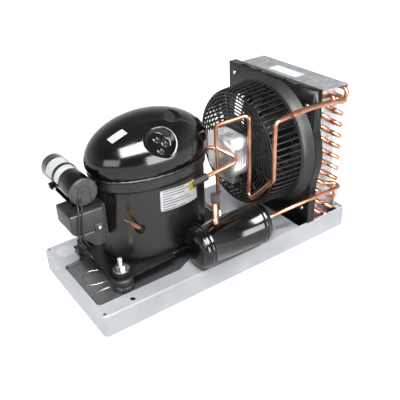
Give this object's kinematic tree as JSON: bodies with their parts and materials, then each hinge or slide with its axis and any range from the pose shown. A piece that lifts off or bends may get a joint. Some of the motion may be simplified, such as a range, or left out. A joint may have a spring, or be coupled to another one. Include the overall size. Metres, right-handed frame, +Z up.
{
  "type": "refrigeration condensing unit",
  "caption": "Air-cooled condensing unit: oval welded compressor, receiver and fan-cooled finned condenser piped together on a pressed steel base.",
  "frame": {"origin": "under the middle of the whole object, on the plane that the base stands on", "axes": "+X along the base from the compressor to the condenser, -Y to the front with the receiver, +Z up"},
  "size_m": [0.625, 0.312, 0.356],
  "materials": {
    "grey_paint": "light grey powder coat on pressed steel",
    "black_rubber": "moulded rubber",
    "zinc": "bright zinc plate",
    "black_enamel": "glossy black enamel on steel",
    "copper": "drawn copper tube",
    "black_plastic": "satin moulded plastic",
    "grey_plastic": "dark grey moulded plastic",
    "gloss_black": "glossy black can",
    "brass": "machined brass",
    "cast_aluminium": "die-cast aluminium",
    "steel": "ground steel",
    "cast_iron": "cast iron, as cast",
    "fin_aluminium": "rolled aluminium fin",
    "galvanised": "galvanised sheet"
  },
  "bodies": {
    "unit": {"base_pan": "grey_paint", "rubber_grommets": "black_rubber", "mounting_studs": "zinc", "mounting_washers": "zinc", "mounting_nuts": "zinc", "compressor_feet": "black_enamel", "compressor_lower_shell": "black_enamel", "compressor_upper_shell": "black_enamel", "compressor_weld_bead": "black_enamel", "support_springs": "zinc", "compressor_stator": "steel", "compressor_windings": "copper", "compressor_block": "cast_iron", "valve_plate": "steel", "cylinder_head": "cast_iron", "process_tube": "copper", "process_collar": "black_enamel", "terminal_box_body": "black_plastic", "terminal_box_cover": "black_plastic", "terminal_box_screw": "zinc", "start_relay": "black_plastic", "overload_protector": "grey_plastic", "capacitor_can": "gloss_black", "capacitor_lid": "grey_plastic", "capacitor_bracket": "black_enamel", "capacitor_strap": "black_plastic", "strap_screw": "zinc", "receiver_body": "black_enamel", "receiver_bracket": "black_enamel", "receiver_outlet": "copper", "service_cap": "grey_plastic", "discharge_sleeve": "black_rubber", "discharge_line": "copper", "inlet_header": "copper", "suction_line": "copper", "suction_valve": "brass", "liquid_line": "copper", "fan_shroud": "black_plastic", "fan_guard": "black_plastic", "shroud_screws": "zinc", "motor_housing": "cast_aluminium", "motor_end_bell": "cast_aluminium", "motor_bearings": "steel", "motor_stator": "steel", "fin_pack": "fin_aluminium", "tube_sheet_front": "galvanised", "tube_sheet_back": "galvanised", "return_bends_front": "copper", "return_bends_back": "copper", "top_plate": "galvanised", "coil_bracket": "galvanised"},
    "fan": {"motor_shaft": "steel", "fan_hub": "black_plastic", "fan_blades": "black_plastic", "hub_nut": "steel"},
    "crank": {"compressor_crankshaft": "steel"},
    "piston": {"compressor_piston": "steel"}
  },
  "joints": [
    {"name": "fan_spin", "type": "hinge", "parent": "unit", "child": "fan", "pos_m": [0.15, 0.00655, 0.208], "axis": [1, 0, 0], "continuous": true},
    {"name": "crank_spin", "type": "hinge", "parent": "unit", "child": "crank", "pos_m": [-0.111, 0.01355, 0.12], "axis": [0, 0, 1], "continuous": true},
    {"name": "piston_stroke", "type": "slide", "parent": "unit", "child": "piston", "axis": [1, 0, 0], "range_m": [-0.009, 0.009]}
  ]
}
